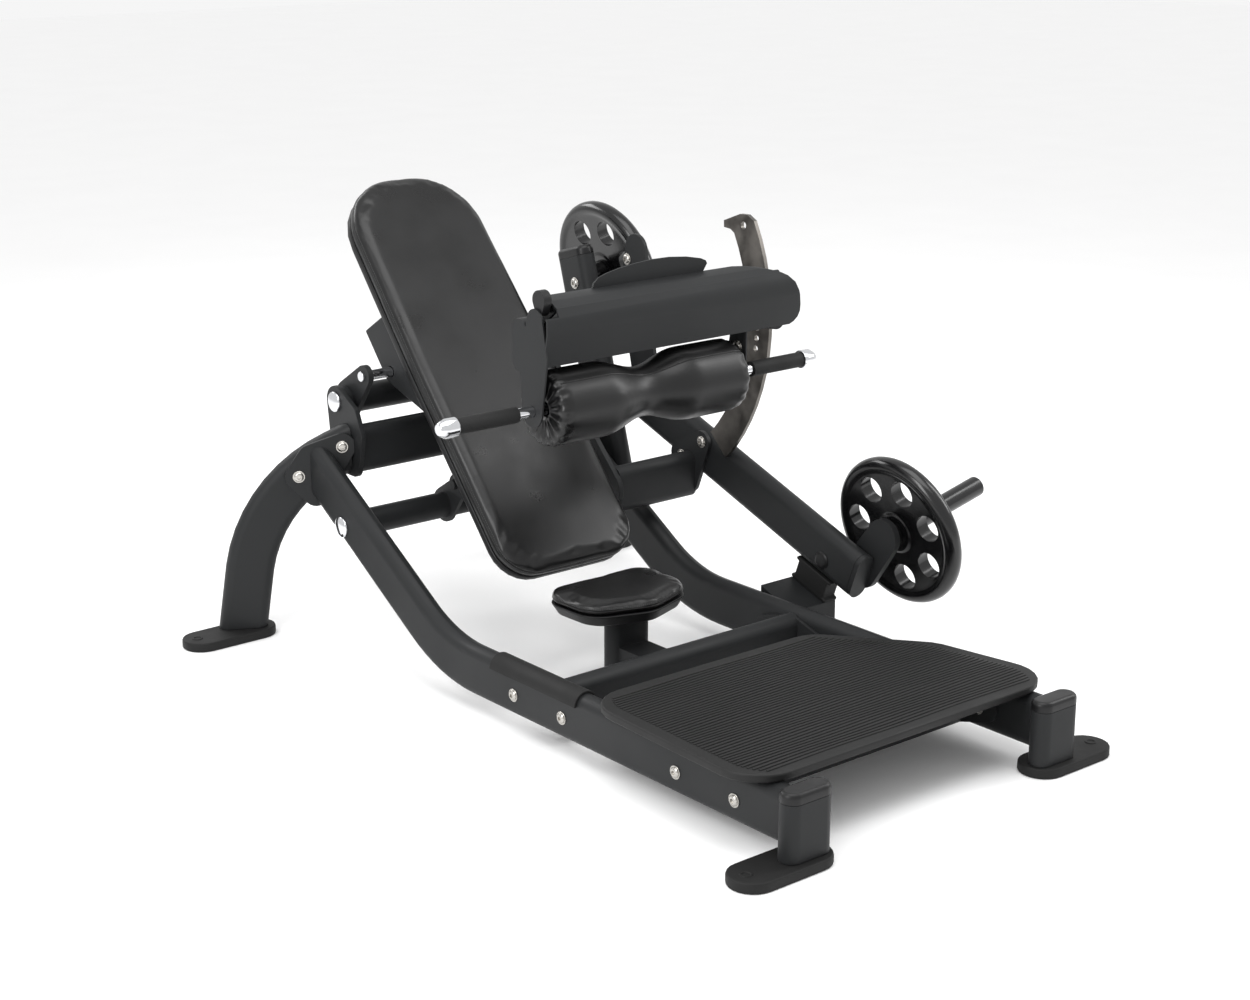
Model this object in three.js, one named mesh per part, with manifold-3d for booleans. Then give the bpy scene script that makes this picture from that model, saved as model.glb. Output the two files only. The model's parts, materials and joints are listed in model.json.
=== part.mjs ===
// Plate-loaded hip thrust machine: a tubular frame, a swinging lever with a weight arm,
// a back pad carried on a parallelogram, and a roller pad on an adjustable arm.
// Millimetres. +X is the user's left, the weight arm's side. +Y runs from the foot
// platform back to the pivots. +Z is up.
import * as THREE from 'three';
import { mergeVertices } from 'three/addons/utils/BufferGeometryUtils.js';
import Module from 'manifold-3d';

const wasm = await Module();
wasm.setup();

// Driving dimensions
const gap = 0.3;                    // clearance kept between touching pieces
const tube = { long: 114, short: 50 };
const plate = 12;                   // thickness of the pivot plates
const rail = { x: 356, z: 92, kneeY: 1116, kneeRadius: 400, rise: 31.3, endY: 1632 };
const frontLeg = { x: 350, y: -8, top: 140, capTop: 162 };
const foot = { long: 238, short: 100, height: 22 };
const frontFoot = { x: 402, y: 0 };
const rearFoot = { x: 558, y: 1742 };
const arch = { baseX: 516, baseY: 1750, splay: 29.3, lean: 80, legLength: 150, radius: 365, endHeading: 24 };
const earX = 284;                   // middle of each ear plate
const upperPivot = { y: 1660, z: 557 };
const lowerPivot = { y: 1503, z: 303 };
const crank = { y: -75, z: 70 };    // offset of the carriage pins from their pivots
const axleRadius = 16;
const boreRadius = 16.6;
const sleeveRadius = 33;
const crossbar = { y: 1590, z: 455 };
const seatBar = { y: 737, z: 84 };
const platformBar = { y: 233, z: 92 };
const pad = { y: 876, slope: 41.05, bottom: 245, length: 1073, width: 388, thickness: 45, board: 18 };
const seat = { y: 932, bottom: 170, thickness: 56 };
const armX = 500;                   // middle of the weight arm
const arm = { rearY: 1490, frontY: 700, atY: 1100, atZ: 351, slope: 0.36 };
const beam = { y: 1255, z: 335 };
const latchShaft = [873, 898];       // the release shaft, in the side view
const sector = { x: 464.7, thickness: 10, y: 1471, z: 753, inner: 420, outer: 496 };
const roller = { y: 892, z: 682, halfLength: 268, lobe: 83, waist: 51, bore: 14 };
const grip = { inner: 330, outer: 484, radius: 17.5, rod: 12.5, end: 497 };
const pegTilt = 12.8;
const pegRadius = 24;
const disc = { radius: 181, thickness: 42, hub: 46, bore: 26, holes: 7, holeRadius: 32, holePitch: 112, firstHole: 6.6 };
const workingPeg = { x: 541.3, y: 654, z: 300, collar: 15, length: 303 };
const storagePeg = { x: 442.3, y: 1655, z: 758, collar: 66, length: 150 };
const storagePost = { x: 417, bottom: [1480, 300], top: [1634, 826] };

const paint = new THREE.MeshStandardMaterial({ color: 0x313131, roughness: 0.62, metalness: 0.25 });
const rubber = new THREE.MeshStandardMaterial({ color: 0x1c1c1c, roughness: 0.85, metalness: 0 });
const vinyl = new THREE.MeshStandardMaterial({ color: 0x111111, roughness: 0.35, metalness: 0 });
const enamel = new THREE.MeshStandardMaterial({ color: 0x0c0c0c, roughness: 0.2, metalness: 0.2 });
const chrome = new THREE.MeshStandardMaterial({ color: 0xc8c8c8, roughness: 0.12, metalness: 1 });
const steel = new THREE.MeshStandardMaterial({ color: 0x62584e, roughness: 0.42, metalness: 0.9 });
const plastic = new THREE.MeshStandardMaterial({ color: 0x1d1d1d, roughness: 0.5, metalness: 0 });

const radians = THREE.MathUtils.degToRad;
const machine = new THREE.Group();

function add(name, geometry, material) {
  const mesh = new THREE.Mesh(geometry, material);
  mesh.name = name;
  machine.add(mesh);
}

// Booleans
function toSolid(geometry) {
  const bare = geometry.clone();
  bare.deleteAttribute('normal');
  bare.deleteAttribute('uv');
  const merged = mergeVertices(bare, 1e-3);
  return new wasm.Manifold(new wasm.Mesh({
    numProp: 3,
    vertProperties: new Float32Array(merged.attributes.position.array),
    triVerts: new Uint32Array(merged.index.array),
  }));
}

function toGeometry(solid) {
  const mesh = solid.getMesh();
  const geometry = new THREE.BufferGeometry();
  geometry.setAttribute('position', new THREE.BufferAttribute(mesh.vertProperties, 3));
  geometry.setIndex(new THREE.BufferAttribute(mesh.triVerts, 1));
  return geometry;
}

function cut(geometry, ...tools) {
  return toGeometry(tools.reduce((solid, tool) => solid.subtract(toSolid(tool)), toSolid(geometry)));
}

function join(...geometries) {
  const solids = geometries.map(toSolid);
  return toGeometry(solids.reduce((whole, piece) => whole.add(piece)));
}

// Outlines
function polygon(points) {
  return new THREE.Shape(points.map(([a, b]) => new THREE.Vector2(a, b)));
}

function circlePoints([a, b, radius], count = 24) {
  const turn = (index) => (2 * Math.PI * index) / count;
  return Array.from({ length: count }, (_, index) => [
    a + radius * Math.cos(turn(index)),
    b + radius * Math.sin(turn(index)),
  ]);
}

// The convex outline round a few discs, each given as centre and radius
function wrap(...discs) {
  const points = discs.flatMap((each) => circlePoints(each)).sort((p, q) => p[0] - q[0] || p[1] - q[1]);
  const cross = (o, a, b) => (a[0] - o[0]) * (b[1] - o[1]) - (a[1] - o[1]) * (b[0] - o[0]);
  const half = (ordered) => {
    const chain = [];
    for (const point of ordered) {
      while (chain.length > 1 && cross(chain.at(-2), chain.at(-1), point) <= 1e-6) chain.pop();
      chain.push(point);
    }
    return chain.slice(0, -1);
  };
  return polygon([...half(points), ...half([...points].reverse())]);
}

function withHoles(shape, ...holes) {
  for (const hole of holes) shape.holes.push(new THREE.Path(polygon(circlePoints(hole)).getPoints()));
  return shape;
}

// A stadium, long along the second axis unless the first size is the larger
function oval(width, height) {
  const radius = Math.min(width, height) / 2;
  const alongX = width / 2 - radius;
  const alongY = height / 2 - radius;
  return wrap([-alongX, -alongY, radius], [alongX, alongY, radius]);
}

// Solids
const sideways = new THREE.Matrix4().makeBasis(
  new THREE.Vector3(0, 1, 0), new THREE.Vector3(0, 0, 1), new THREE.Vector3(1, 0, 0));

function sidePlate(shape, fromX, toX) {
  const geometry = new THREE.ExtrudeGeometry(shape, { depth: toX - fromX, bevelEnabled: false });
  return geometry.applyMatrix4(sideways).translate(fromX, 0, 0);
}

// A flat-oval tube whose run is drawn as a strip in the side view
function sideTube(strip, middleX) {
  const edge = tube.short / 2 - 1;
  const geometry = new THREE.ExtrudeGeometry(strip, {
    depth: 2, bevelThickness: edge, bevelSize: edge, bevelSegments: 4,
  });
  return geometry.applyMatrix4(sideways).translate(middleX - 1, 0, 0);
}

function crossTube(fromX, toX, y, z) {
  return sidePlate(oval(tube.short, tube.long), fromX, toX).translate(0, y, z);
}

function upright(shape, x, y, bottom, top) {
  const geometry = new THREE.ExtrudeGeometry(shape, { depth: top - bottom, bevelEnabled: false });
  return geometry.translate(x, y, bottom);
}

// A straight flat-oval tube in a side plane, from one point to another
function slantTube(x, [fromY, fromZ], [toY, toZ]) {
  const run = new THREE.Vector3(0, toY - fromY, toZ - fromZ);
  const geometry = new THREE.ExtrudeGeometry(oval(tube.short, tube.long), {
    depth: run.length(), bevelEnabled: false,
  });
  const along = run.clone().normalize();
  const across = new THREE.Vector3().crossVectors(along, new THREE.Vector3(1, 0, 0));
  const basis = new THREE.Matrix4().makeBasis(new THREE.Vector3(1, 0, 0), across, along);
  return geometry.applyMatrix4(basis).translate(x, fromY, fromZ);
}

// A turned piece on an axis along X, its profile given as [radius, x]
function turned(profile, y = 0, z = 0, segments = 24) {
  const points = profile.map(([radius, x]) => new THREE.Vector2(radius, x));
  const geometry = new THREE.LatheGeometry(points, segments);
  return geometry.rotateZ(-Math.PI / 2).translate(0, y, z);
}

function rod(radius, fromX, toX, y, z) {
  return turned([[0, fromX], [radius, fromX], [radius, toX], [0, toX]], y, z);
}

function ring(outer, inner, fromX, toX, y, z) {
  return turned([[inner, fromX], [outer, fromX], [outer, toX], [inner, toX], [inner, fromX]], y, z);
}

function box(low, high) {
  const size = high.map((value, index) => value - low[index]);
  const middle = high.map((value, index) => (value + low[index]) / 2);
  return new THREE.BoxGeometry(...size).translate(...middle);
}

function mirrored(geometry) {
  const copy = geometry.index ? geometry.toNonIndexed() : geometry.clone();
  copy.scale(-1, 1, 1);
  const position = copy.attributes.position;
  for (let corner = 0; corner < position.count; corner += 3) {
    const second = new THREE.Vector3().fromBufferAttribute(position, corner + 1);
    const third = new THREE.Vector3().fromBufferAttribute(position, corner + 2);
    position.setXYZ(corner + 1, third.x, third.y, third.z);
    position.setXYZ(corner + 2, second.x, second.y, second.z);
  }
  return copy;
}

function addPair(name, geometry, material) {
  add(`left_${name}`, geometry, material);
  add(`right_${name}`, mirrored(geometry), material);
}

// The arch legs stand in a vertical plane that is splayed outward. Along that plane, s runs
// from the foot towards the machine's middle.
const splayCos = Math.cos(radians(arch.splay));
const splaySin = Math.sin(radians(arch.splay));

function archRun() {
  const points = [];
  const lean = radians(arch.lean);
  const reach = arch.legLength;
  points.push([-2, 0], [-2 + reach * Math.cos(lean), foot.height + reach * Math.sin(lean)]);
  const [startS, startZ] = points[1];
  const steps = 9;
  for (let step = 1; step <= steps; step += 1) {
    const heading = radians(arch.lean + ((arch.endHeading - arch.lean) * step) / steps);
    points.push([
      startS + arch.radius * (Math.sin(lean) - Math.sin(heading)),
      startZ + arch.radius * (Math.cos(heading) - Math.cos(lean)),
    ]);
  }
  const [endS, endZ] = points.at(-1);
  const heading = radians(arch.endHeading);
  points.push([endS + 60 * Math.cos(heading), endZ + 60 * Math.sin(heading)]);
  return points;
}

// A strip of the given half width along a run of points
function strip(run, half) {
  const sides = [[], []];
  run.forEach((point, index) => {
    const before = run[Math.max(index - 1, 0)];
    const after = run[Math.min(index + 1, run.length - 1)];
    const length = Math.hypot(after[0] - before[0], after[1] - before[1]);
    const normal = [-(after[1] - before[1]) / length, (after[0] - before[0]) / length];
    sides[0].push([point[0] - half * normal[0], point[1] - half * normal[1]]);
    sides[1].push([point[0] + half * normal[0], point[1] + half * normal[1]]);
  });
  return polygon([...sides[0], ...sides[1].reverse()]);
}

// Places a shape drawn in (s, z) on the left arch's plane, its middle moved along the normal
function onArch(shape, thickness, offset, rounded) {
  const edge = thickness / 2 - 1;
  const geometry = new THREE.ExtrudeGeometry(shape, rounded
    ? { depth: 2, bevelThickness: edge, bevelSize: edge, bevelSegments: 4 }
    : { depth: thickness, bevelEnabled: false });
  geometry.translate(0, 0, rounded ? -1 : -thickness / 2);
  const inward = new THREE.Vector3(splayCos, -splaySin, 0);
  const forward = new THREE.Vector3(-splaySin, -splayCos, 0);
  const basis = new THREE.Matrix4().makeBasis(inward, new THREE.Vector3(0, 0, 1), forward);
  geometry.applyMatrix4(basis);
  return geometry.translate(-arch.baseX + offset * forward.x, arch.baseY + offset * forward.y, 0);
}

const flangeThickness = 10;
const flangeOffset = tube.short / 2 + gap + flangeThickness / 2;

function addArches() {
  const beyondEar = box([-earX - plate / 2 - gap, 0, 0], [400, 2500, 900]);
  const floorCut = box([-900, 1000, -200], [900, 2400, foot.height + gap]);
  const leg = cut(onArch(strip(archRun(), tube.long / 2 - tube.short / 2 + 1), tube.short, 0, true),
    beyondEar, floorCut);
  addPair('arch_leg', leg, paint);
  const flange = wrap([147, 396, 32], [250, 464, 32], [186, 352, 30], [176, 442, 30]);
  addPair('rail_flange', cut(onArch(flange, flangeThickness, flangeOffset, false), beyondEar), paint);
}

function addRails() {
  const rise = radians(rail.rise);
  const tangent = rail.kneeRadius * Math.tan(rise / 2);
  const run = [[-60, rail.z]];
  const steps = 8;
  for (let step = 0; step <= steps; step += 1) {
    const angle = (rise * step) / steps;
    run.push([
      rail.kneeY - tangent + rail.kneeRadius * Math.sin(angle),
      rail.z + rail.kneeRadius * (1 - Math.cos(angle)),
    ]);
  }
  const length = rail.endY + 120 - rail.kneeY;
  run.push([rail.kneeY + length, rail.z + length * Math.tan(rise)]);
  const tubeSolid = sideTube(strip(run, tube.long / 2 - tube.short / 2 + 1), -rail.x);
  const ahead = box([-500, -200, -100], [0, frontLeg.y + tube.short / 2 + gap, 400]);
  const bore = rod(boreRadius, -500, 0, lowerPivot.y, lowerPivot.z);
  // Everything behind the flange's front face is cut away
  const behind = onArch(polygon([[-600, -300], [900, -300], [900, 1200], [-600, 1200]]), 500,
    flangeOffset + flangeThickness / 2 + gap - 250, false);
  addPair('side_rail', cut(tubeSolid, ahead, bore, behind), paint);
}

// A tube's domed plastic end cap, standing on the given height
function domedCap(shape, x, y, bottom, top) {
  const edge = 10;
  const geometry = new THREE.ExtrudeGeometry(shape, {
    depth: top - bottom - edge + 20, bevelThickness: edge, bevelSize: edge, bevelSegments: 3,
  });
  geometry.translate(x, y, bottom - 20);
  return cut(geometry, box([x - 200, y - 200, bottom - 100], [x + 200, y + 200, bottom]));
}

function addFrontLegs() {
  const outline = oval(tube.long, tube.short);
  addPair('front_leg', upright(outline, -frontLeg.x, frontLeg.y, foot.height + gap, frontLeg.top), paint);
  const inner = oval(tube.long - 20, tube.short - 20);
  addPair('front_leg_cap', domedCap(inner, -frontLeg.x, frontLeg.y, frontLeg.top + gap, frontLeg.capTop), plastic);
}

function addFeet() {
  const outline = oval(foot.long, foot.short);
  addPair('front_foot', upright(outline, -frontFoot.x, frontFoot.y, 0, foot.height), rubber);
  addPair('rear_foot', upright(outline, -rearFoot.x, rearFoot.y, 0, foot.height), rubber);
}

function addFrameCross() {
  const inside = earX - plate / 2 - gap;
  add('rear_crossbar', crossTube(-inside, inside, crossbar.y, crossbar.z), paint);
  const ear = withHoles(
    wrap([upperPivot.y, upperPivot.z, 38], [1592, 540, 20], [1572, 490, 22], [1590, 412, 24],
      [1655, 405, 16], [1672, 470, 16]),
    [upperPivot.y, upperPivot.z, boreRadius]);
  addPair('ear_plate', sidePlate(ear, -earX - plate / 2, -earX + plate / 2), paint);
  const between = rail.x - tube.short / 2 - gap;
  const flange = wrap([-84, 0, 30], [84, 0, 30], [0, 16, 38], [0, -16, 38]);
  for (const [name, bar] of [['seat_crossmember', seatBar], ['platform_crossmember', platformBar]]) {
    const end = sidePlate(flange, -between, -between + 8).translate(0, bar.y, bar.z);
    add(name, join(end, mirrored(end), crossTube(-between, between, bar.y, bar.z)), paint);
  }
}

function addAxles() {
  const axle = (reach, pivot) => turned([
    [0, -reach - 10], [16, -reach - 9], [24, -reach - 5], [25, -reach], [axleRadius, -reach],
    [axleRadius, reach], [25, reach], [24, reach + 5], [16, reach + 9], [0, reach + 10],
  ], pivot.y, pivot.z);
  add('upper_axle', axle(earX + plate / 2 + gap, upperPivot), chrome);
  add('lower_axle', axle(rail.x + tube.short / 2 + gap, lowerPivot), chrome);
}

function addSeat() {
  const stem = box([-40, seatBar.y + tube.short / 2 + gap, 40], [40, 920, 95]);
  const post = upright(oval(tube.long, tube.short), 0, seat.y, 36, seat.bottom);
  add('seat_post', join(stem, post), paint);
  const edge = 12;
  const outline = wrap([-4, seat.y - 26, 66], [-80, seat.y - 6, 60], [72, seat.y - 6, 60],
    [-98, seat.y + 58, 44], [90, seat.y + 58, 44]);
  const cushion = new THREE.ExtrudeGeometry(outline, {
    depth: seat.thickness - 2 * edge, bevelThickness: edge, bevelSize: edge, bevelSegments: 3,
  });
  add('seat_pad', cushion.translate(0, 0, seat.bottom + gap + edge), vinyl);
}

function addPlatform() {
  const outline = wrap([-330, 142, 92], [330, 142, 92], [-318, 478, 92], [172, 482, 84], [300, 310, 92]);
  const top = rail.z + tube.long / 2 + gap;
  const slab = new THREE.ExtrudeGeometry(outline, {
    depth: 12, bevelThickness: 3, bevelSize: 3, bevelSegments: 1,
  });
  add('foot_platform', slab.translate(0, 0, top + 3), rubber);
  // The guard is a sleeve clipped over the rail's rounded top, open on the machine's inner side
  const crown = rail.z + tube.long / 2 - tube.short / 2;
  const arc = (radius) => Array.from({ length: 13 }, (_, step) => {
    const angle = radians(38 + (142 * step) / 12);
    return [radius * Math.cos(angle), radius * Math.sin(angle)];
  });
  const section = polygon([...arc(31), ...arc(tube.short / 2 + 0.8).reverse()]);
  const [guardFront, guardRear] = [630, 925];
  const guard = new THREE.ExtrudeGeometry(section, { depth: guardRear - guardFront, bevelEnabled: false });
  const forward = new THREE.Matrix4().makeBasis(
    new THREE.Vector3(1, 0, 0), new THREE.Vector3(0, 0, 1), new THREE.Vector3(0, -1, 0));
  add('rail_guard', guard.applyMatrix4(forward).translate(-rail.x, guardRear, crown), rubber);
}

function addBumper() {
  const [middleY, halfLength, padDepth] = [825, 60, 58];
  const tilt = Math.atan(arm.slope);
  const underside = arm.atZ + arm.slope * (middleY - arm.atY) - tube.long / 2 / Math.cos(tilt);
  // A point so far along the arm's underside and so far below it
  const under = (along, below) => [
    middleY + along * Math.cos(tilt) + below * Math.sin(tilt),
    underside + along * Math.sin(tilt) - below * Math.cos(tilt),
  ];
  const post = polygon([[791, 40], [898, 40], under(halfLength - 3, padDepth + 1), under(3 - halfLength, padDepth + 1)]);
  add('bumper_post', sidePlate(post, rail.x + tube.short / 2 + gap, armX + 22), paint);
  // The rubber block has a flange at the top and another at the bottom
  const edge = (side) => [[halfLength, 0.8], [halfLength, 8], [halfLength - 9, 10], [halfLength - 9, 48],
    [halfLength, 50], [halfLength, padDepth]].map(([along, below]) => under(side * along, below));
  const block = polygon([...edge(1), ...edge(-1).reverse()]);
  add('bumper_block', sidePlate(block, armX - 20, armX + 22), rubber);
}

// A loading peg that climbs outward along X, with the collar its plates rest against
function pegGeometry(place) {
  const profile = [[0, 0], [30, 0], [30, place.collar], [pegRadius, place.collar],
    [pegRadius, place.length - 4], [pegRadius - 4, place.length], [0, place.length]];
  return turned(profile).rotateY(-radians(pegTilt)).translate(place.x + 9, place.y, place.z);
}

function weightDisc(place) {
  const half = disc.thickness / 2;
  const along = place.collar + gap + half;
  const { radius, hub, bore } = disc;
  const body = turned([
    [bore, -half], [hub, -half], [hub + 4, -half + 12], [radius - 35, -half + 12],
    [radius - 29, -half + 2], [radius - 14, -half], [radius - 3, -half + 7], [radius, 0],
    [radius - 3, half - 7], [radius - 14, half], [radius - 29, half - 2],
    [radius - 35, half - 12], [hub + 4, half - 12], [hub, half], [bore, half], [bore, -half],
  ], 0, 0, 40);
  const holes = Array.from({ length: disc.holes }, (_, index) => {
    const angle = radians(disc.firstHole) + (2 * Math.PI * index) / disc.holes;
    const hole = turned([[0, -40], [disc.holeRadius, -40], [disc.holeRadius, 40], [0, 40]], 0, 0, 20);
    return hole.translate(0, disc.holePitch * Math.cos(angle), disc.holePitch * Math.sin(angle));
  });
  const whole = cut(body, ...holes);
  return whole.translate(along, 0, 0).rotateY(-radians(pegTilt)).translate(place.x + 9, place.y, place.z);
}

// A vertical face that trims a tilted peg flush with the piece that carries it
function flushWith(place, geometry) {
  return cut(geometry, box([place.x - 200, place.y - 200, place.z - 200],
    [place.x, place.y + 200, place.z + 200]));
}

function addStorage() {
  const { x, bottom, top } = storagePost;
  const lean = Math.atan2(top[0] - bottom[0], top[1] - bottom[1]);
  const cap = domedCap(oval(tube.short - 20, tube.long - 20), 0, 0, gap, 24);
  add('storage_post_cap', cap.rotateX(-lean).translate(x, top[0], top[1]), plastic);
  const bracket = wrap([1440, 292, 28], [1386, 250, 28]);
  const mount = sidePlate(bracket, rail.x + tube.short / 2 + gap, x - tube.short / 2 + 1);
  add('storage_post', join(slantTube(x, bottom, top), mount), paint);
  add('storage_peg', flushWith(storagePeg, pegGeometry(storagePeg)), chrome);
}

function addLever() {
  const sleeveEnd = earX - plate / 2 - 2;
  add('lever_sleeve', ring(sleeveRadius, axleRadius + 1, -sleeveEnd, sleeveEnd, upperPivot.y, upperPivot.z), paint);
  const pin = { y: upperPivot.y + crank.y, z: upperPivot.z + crank.z };
  const crankShape = withHoles(
    wrap([upperPivot.y, upperPivot.z, 46], [pin.y, pin.z, 26]),
    [upperPivot.y, upperPivot.z, sleeveRadius + gap], [pin.y, pin.z, 12 + gap]);
  addPair('crank', sidePlate(crankShape, -259, -245), paint);
  add('carriage_shaft', rod(12, -266, 266, pin.y, pin.z), chrome);
  const rear = withHoles(wrap([upperPivot.y, upperPivot.z, 44], [1500, 590, 40]),
    [upperPivot.y, upperPivot.z, sleeveRadius + gap]);
  const front = wrap([1500, 590, 40], [1262, 340, 46]);
  const besideShaft = rod(12 + gap, 200, 240, pin.y, pin.z);
  add('lever_side_plate', cut(join(sidePlate(rear, 214, 228), sidePlate(front, 214, 228)), besideShaft), paint);
  const flange = wrap([1252, 318, 30], [1290, 378, 30], [1212, 420, 30]);
  const flangeFace = armX - tube.short / 2 - gap;
  add('lever_cross_beam', join(crossTube(228 + gap, flangeFace - 5, beam.y, beam.z),
    sidePlate(flange, flangeFace - 10, flangeFace)), paint);
}

function armPoint(y) {
  return [y, arm.atZ + arm.slope * (y - arm.atY)];
}

function addWeightArm() {
  add('weight_arm', slantTube(armX, armPoint(arm.rearY), armPoint(arm.frontY)), paint);
  const outside = armX + tube.short / 2 + gap;
  const cheek = wrap([...armPoint(716), 48], [workingPeg.y, workingPeg.z, 44]);
  const end = slantTube(armX + 1, armPoint(arm.frontY - gap), armPoint(arm.frontY - 12));
  add('peg_bracket', join(sidePlate(cheek, outside, workingPeg.x - gap), end), paint);
  add('weight_peg', flushWith(workingPeg, pegGeometry(workingPeg)), chrome);
}

function sectorPoint(radius, degrees) {
  return [sector.y + radius * Math.cos(radians(degrees)), sector.z + radius * Math.sin(radians(degrees))];
}

const holeRadius = 455;
const holeStep = 3.15;
const lockAngle = 178.7;
const pinAngle = lockAngle - holeStep;
const shroudEnd = 288;            // outer face of the cover's end plate, from the middle

function addSector() {
  const outerArc = [];
  const innerArc = [];
  const [top, foot] = [152, 225];
  const steps = 14;
  for (let step = 0; step <= steps; step += 1) {
    const angle = top + ((foot - top) * step) / steps;
    outerArc.push(sectorPoint(sector.outer, angle));
    innerArc.push(sectorPoint(sector.inner, angle));
  }
  // The top turns over into a hook that points back towards the pivots
  const hook = [sectorPoint(482, 149.5), sectorPoint(460, 148), sectorPoint(402, 146.4), sectorPoint(394, 148.4),
    sectorPoint(412, 150.2)];
  const outline = polygon([...outerArc, ...innerArc.reverse(), ...hook.reverse()]);
  const holes = Array.from({ length: 8 }, (_, index) =>
    [...sectorPoint(holeRadius, lockAngle + holeStep * (index - 4)), 7.5]);
  withHoles(outline, ...holes, [...sectorPoint(458, 151.5), 9]);
  add('sector_plate', sidePlate(outline, sector.x, sector.x + sector.thickness), steel);
  const stand = withHoles(wrap([1462, 862, 38], [sector.y, sector.z, 46], [1420, 520, 44]),
    [sector.y, sector.z, 12.4]);
  add('roller_arm_bracket', sidePlate(stand, sector.x, sector.x + sector.thickness), paint);
}

function addRollerArm() {
  const hubX = sector.x - 4;
  const hub = withHoles(wrap([sector.y, sector.z, 38], [1330, 765, 34]), [sector.y, sector.z, 12.4]);
  const hubPlate = sidePlate(hub, hubX - 12, hubX);
  const bodyX = hubX - 12 - tube.short / 2 + 1;
  const body = slantTube(bodyX, [1355, 765], [912, 815]);
  const cross = crossTube(-shroudEnd + 5, bodyX, 940, 815);
  const [pinY, pinZ] = sectorPoint(holeRadius, pinAngle);
  const lug = sidePlate(withHoles(wrap([...latchShaft, 12], [935, 852, 14]), [...latchShaft, 7.6]), -250, -242);
  const pinBore = rod(13, bodyX - 40, bodyX + 40, pinY, pinZ);
  add('roller_arm', cut(join(hubPlate, body, cross, lug), pinBore), paint);
  add('arm_pivot_bolt', turned([
    [0, hubX - 22], [20, hubX - 21], [20, hubX - 12.3], [12, hubX - 12.3],
    [12, sector.x + 10.3], [20, sector.x + 10.3], [20, sector.x + 16], [0, sector.x + 18],
  ], sector.y, sector.z), chrome);
}

// The folded sheet cover: its section in the side view, thickened, with the hump on its rear edge
function addShroud() {
  const sheet = 4;
  const run = [[853, 782], [838, 850], [838, 880], [848, 902], [868, 914], [908, 918]];
  const cover = sidePlate(strip(run, sheet / 2), -shroudEnd, 438);
  const slanted = new THREE.ExtrudeGeometry(polygon([[262, 960], [262, 922], [345, 914], [372, 907], [395, 896],
    [412, 880], [424, 860], [434, 826], [436, 810], [432, 797], [422, 787], [402, 778], [600, 770], [600, 960]]),
  { depth: 300, bevelEnabled: false });
  slanted.rotateX(Math.PI / 2).translate(0, 1000, 0);
  const hump = polygon([[-116, 0], [-110, 14], [-98, 24], [-76, 31], [-40, 38], [0, 43], [50, 46.5], [100, 46],
    [150, 41], [190, 33], [204, 27], [208, 20], [194, 0]]);
  const ridge = new THREE.ExtrudeGeometry(hump, { depth: sheet, bevelEnabled: false });
  ridge.rotateX(Math.PI / 2).translate(0, 909, 916);
  const notch = box([-shroudEnd - 10, 800, 886], [-256, 1000, 1000]);
  const bore = [roller.y, roller.z, grip.rod + gap];
  const end = wrap([roller.y, roller.z, 34], [880, 876, 26], [853, 800, 14], [912, 770, 20]);
  const leftEnd = sidePlate(withHoles(end, bore), -shroudEnd, -shroudEnd + 4);
  add('shroud', join(cut(cover, slanted, notch), ridge, leftEnd), paint);
  const rearEnd = wrap([roller.y, roller.z, 34], [874, 870, 18], [880, 800, 18]);
  add('right_end_plate', sidePlate(withHoles(rearEnd, bore), shroudEnd - 5, shroudEnd), paint);
}

function addRoller() {
  const { y, z } = roller;
  add('roller_axle', turned([
    [0, -grip.end - 29], [12, -grip.end - 29], [21, -grip.end - 14], [21, -grip.outer - gap],
    [grip.rod, -grip.outer - gap], [grip.rod, grip.outer + gap], [21, grip.outer + gap],
    [21, grip.end + 14], [12, grip.end + 29], [0, grip.end + 29],
  ], y, z), chrome);
  addPair('grip', ring(grip.radius, grip.rod + gap, -grip.outer, -grip.inner, y, z), rubber);
  const profile = [[roller.bore, -roller.halfLength]];
  const steps = 20;
  for (let step = 0; step <= steps; step += 1) {
    const t = (2 * step) / steps - 1;
    const swell = roller.waist + (roller.lobe - roller.waist) * Math.min(1, Math.abs(t) * 1.9) ** 1.6;
    const shoulder = Math.sqrt(Math.max(0, 1 - Math.max(0, (Math.abs(t) - 0.68) / 0.32) ** 2));
    profile.push([roller.bore + 8 + (swell - roller.bore - 8) * Math.max(0.24, shoulder), t * (roller.halfLength - 4)]);
  }
  profile.push([roller.bore, roller.halfLength], [roller.bore, -roller.halfLength]);
  add('roller_pad', turned(profile, y, z, 28), vinyl);
}

function addLatch() {
  const [shaftY, shaftZ] = latchShaft;
  const knobEnd = -shroudEnd + 5;
  const shaft = rod(7, knobEnd, 392, shaftY, shaftZ);
  const paddle = sidePlate(wrap([shaftY, shaftZ, 12], [shaftY, shaftZ + 22, 21]), knobEnd, knobEnd + 20);
  add('release_lever', join(shaft, paddle), plastic);
  const [pinY, pinZ] = sectorPoint(holeRadius, pinAngle);
  add('pull_pin', turned([
    [0, 416], [11, 416], [12, 420], [12, 440], [6, 440], [6, sector.x - 3], [4, sector.x - gap], [0, sector.x - gap],
  ], pinY, pinZ), steel);
}

// The back pad lies on its own sloped plane: across, up the slope, and out of the face
const slopeSin = Math.sin(radians(pad.slope));
const slopeCos = Math.cos(radians(pad.slope));

function onSlope(geometry) {
  const basis = new THREE.Matrix4().makeBasis(new THREE.Vector3(1, 0, 0),
    new THREE.Vector3(0, slopeSin, slopeCos), new THREE.Vector3(0, -slopeCos, slopeSin));
  const startY = pad.y + Math.tan(radians(pad.slope)) * pad.bottom;
  return geometry.applyMatrix4(basis).translate(0, startY, pad.bottom);
}

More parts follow.
